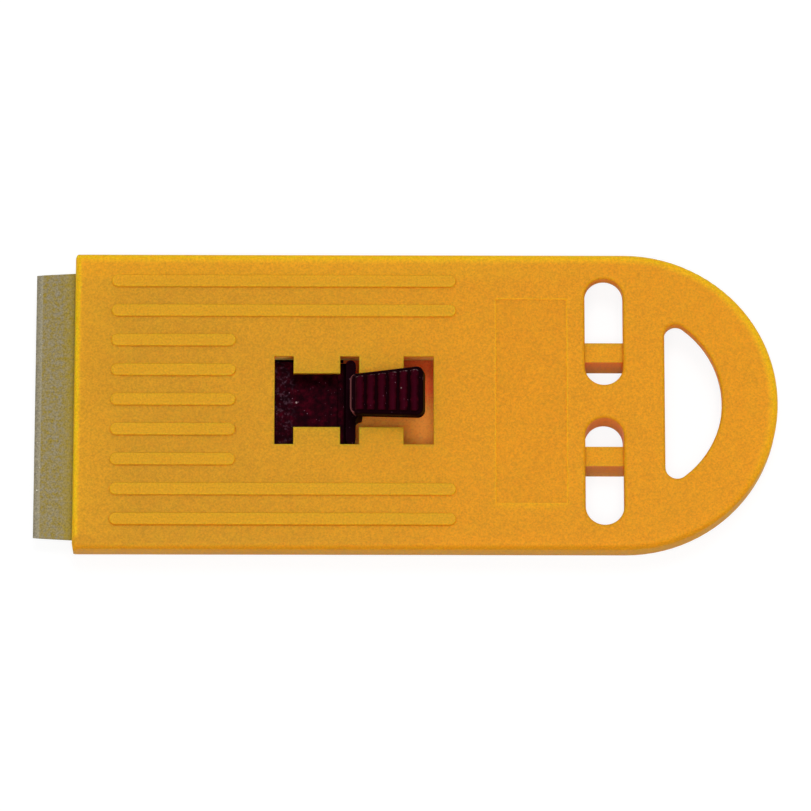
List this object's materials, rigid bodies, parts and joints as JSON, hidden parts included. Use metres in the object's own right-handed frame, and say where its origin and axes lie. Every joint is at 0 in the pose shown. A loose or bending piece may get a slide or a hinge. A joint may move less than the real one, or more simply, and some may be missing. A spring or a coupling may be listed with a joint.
{
  "type": "razor blade scraper",
  "caption": "Flat plastic pocket scraper with a single-edge razor blade on a sliding carrier, a sprung thumb pad that locks it in notches, and a round tail with a hanging hole.",
  "frame": {"origin": "middle of the housing's flat back, on its long middle line", "axes": "+X from the blade's mouth to the round tail, +Y across the housing, +Z out of the face that carries the thumb pad"},
  "size_m": [0.102, 0.042, 0.0128],
  "materials": {
    "yellow_plastic": "warm yellow moulded plastic with a fine matt grain",
    "slide_plastic": "dark maroon, nearly black moulded plastic",
    "blade_steel": "oiled blade steel with a ground cutting edge",
    "spine_steel": "folded mild steel strip"
  },
  "bodies": {
    "housing": {"housing_body": "yellow_plastic", "back_plate": "yellow_plastic"},
    "carrier": {"blade_carrier": "slide_plastic"},
    "tongue": {"lock_tongue": "slide_plastic", "thumb_pad": "slide_plastic"},
    "blade": {"razor_blade": "blade_steel", "blade_spine": "spine_steel"}
  },
  "joints": [
    {"name": "blade_slide", "type": "slide", "parent": "housing", "child": "carrier", "axis": [1, 0, 0], "range_m": [-0.009, 0.00945]},
    {"name": "pad_release", "type": "hinge", "parent": "carrier", "child": "tongue", "pos_m": [-0.03204, 0, 0.00409], "axis": [0, -1, 0], "range_deg": [0, 2.49], "stiffness_Nm_per_rad": 2, "springref_deg": 3.15},
    {"name": "blade_pull", "type": "slide", "parent": "carrier", "child": "blade", "axis": [-1, 0, 0], "range_m": [0, 0.024]}
  ]
}
